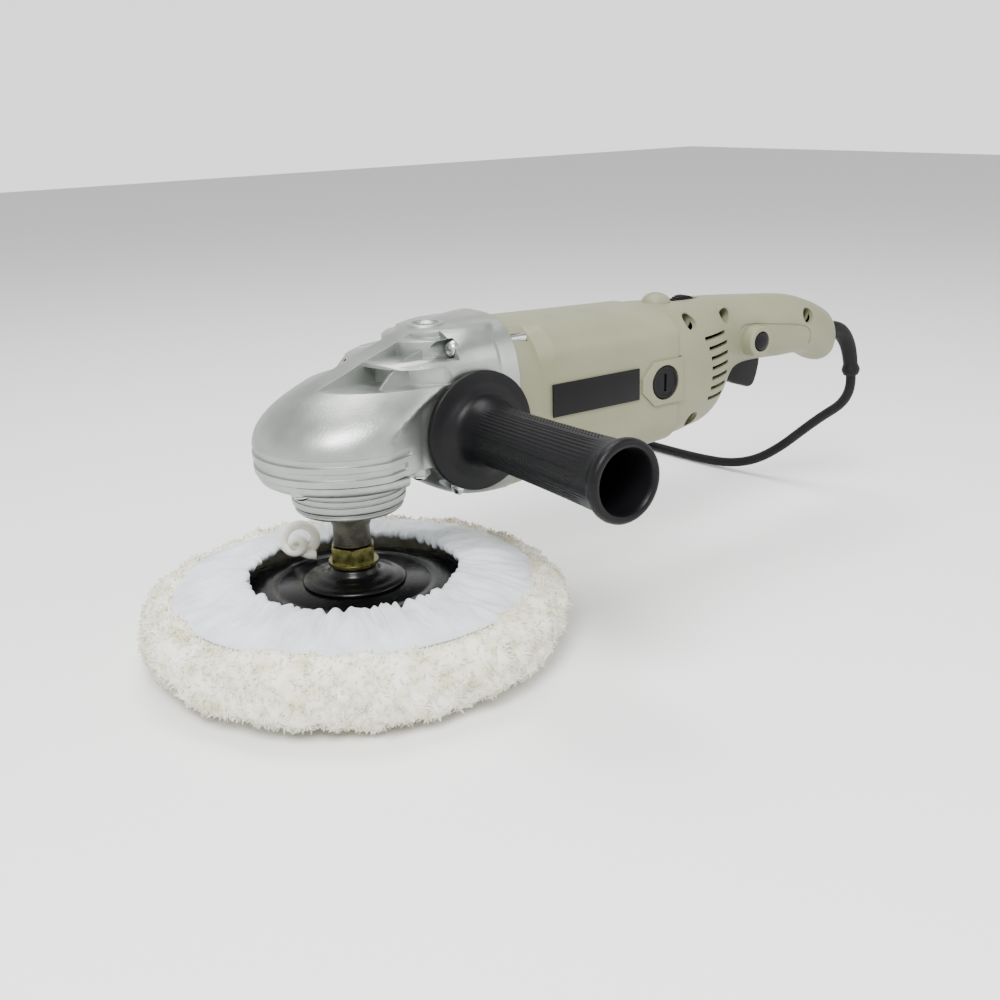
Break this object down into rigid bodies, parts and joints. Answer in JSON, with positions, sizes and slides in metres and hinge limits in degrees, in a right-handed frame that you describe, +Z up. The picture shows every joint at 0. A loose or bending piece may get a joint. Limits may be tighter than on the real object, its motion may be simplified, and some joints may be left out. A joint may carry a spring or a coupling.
{
  "type": "rotary polisher",
  "caption": "Corded rotary polisher: bevel-gear head, wool bonnet on a backing pad, motor body, rear grip with trigger and speed dial, and a screw-in side handle.",
  "frame": {"origin": "middle of the bonnet's working face, on the spindle axis", "axes": "+Z up along the spindle away from the work, +X from the spindle to the rear handle, the side handle points along -Y"},
  "size_m": [0.5204, 0.457, 0.1741],
  "materials": {
    "cast_silver": "die-cast, sprayed satin silver",
    "grey_shell": "fine-textured moulded shell",
    "black_plastic": "satin moulded",
    "black_rubber": "matte",
    "bright_steel": "turned and ground",
    "dark_steel": "oil-blackened, turned",
    "yellow_zinc": "yellow passivated zinc on steel",
    "copper": "enamelled wire and bar",
    "brass": "pressed",
    "carbon": "sintered carbon",
    "wool_pile": "dense wool pile",
    "white_cloth": "plain woven, gathered",
    "circuit_board": "solder-masked board"
  },
  "bodies": {
    "root": {"gear_housing": "cast_silver", "gear_cover": "cast_silver", "neck_cap": "cast_silver", "cover_screw_1": "bright_steel", "cover_screw_2": "bright_steel", "cover_screw_3": "bright_steel", "cover_screw_4": "bright_steel", "head_screw_1": "bright_steel", "head_screw_2": "bright_steel", "head_screw_3": "bright_steel", "head_screw_4": "bright_steel", "spindle_bearing_lower": "bright_steel", "spindle_bearing_upper": "bright_steel", "armature_bearing_front": "bright_steel", "armature_bearing_rear": "bright_steel", "motor_housing": "grey_shell", "stator_core": "bright_steel", "field_coil_upper": "copper", "field_coil_lower": "copper", "carbon_brush_left": "carbon", "carbon_brush_right": "carbon", "brush_holder_left": "brass", "brush_holder_right": "brass", "brush_cap_left": "black_plastic", "brush_cap_right": "black_plastic", "name_plate": "black_plastic", "rear_housing_left": "grey_shell", "rear_housing_right": "grey_shell", "housing_screw_1": "dark_steel", "housing_screw_2": "dark_steel", "housing_screw_3": "dark_steel", "housing_screw_4": "dark_steel", "switch_body": "black_plastic", "speed_module": "circuit_board", "power_cord_boot": "black_rubber", "power_cord": "black_rubber", "cord_coil": "black_rubber", "plug": "black_plastic"},
    "spindle": {"bonnet_wool": "wool_pile", "bonnet_skirt": "white_cloth", "drawstring": "white_cloth", "backing_pad": "black_rubber", "pad_hub": "black_plastic", "spindle_nut": "yellow_zinc", "spindle": "dark_steel", "crown_gear": "bright_steel", "crown_circlip": "bright_steel"},
    "armature": {"pinion": "bright_steel", "armature_shaft": "bright_steel", "cooling_fan": "black_plastic", "armature_core": "bright_steel", "armature_windings": "copper", "commutator": "copper"},
    "trigger": {"trigger": "black_plastic"},
    "lock_button": {"lock_button": "black_plastic"},
    "speed_dial": {"speed_dial": "black_plastic"},
    "side_handle": {"side_handle": "black_plastic", "side_handle_stud": "bright_steel"}
  },
  "joints": [
    {"name": "spindle_spin", "type": "hinge", "parent": "root", "child": "spindle", "pos_m": [0, 0, 0.05], "axis": [0, 0, 1], "continuous": true},
    {"name": "armature_spin", "type": "hinge", "parent": "root", "child": "armature", "pos_m": [0.1, 0, 0.126], "axis": [1, 0, 0], "continuous": true},
    {"name": "trigger_press", "type": "slide", "parent": "root", "child": "trigger", "axis": [0, 0, 1], "range_m": [0, 0.006], "stiffness_N_per_m": 800, "springref_m": -0.003},
    {"name": "lock_press", "type": "slide", "parent": "root", "child": "lock_button", "axis": [0, 1, 0], "range_m": [0, 0.003], "stiffness_N_per_m": 600, "springref_m": -0.002},
    {"name": "dial_turn", "type": "hinge", "parent": "root", "child": "speed_dial", "pos_m": [0.2355, 0, 0.1536], "axis": [0, 1, 0], "range_deg": [0, 300]},
    {"name": "side_handle_unscrew", "type": "slide", "parent": "root", "child": "side_handle", "axis": [0, -1, 0], "range_m": [0, 0.0145]}
  ],
  "couplings": [
    {"joint": "armature_spin", "follows": "spindle_spin", "ratio": 4.5}
  ]
}
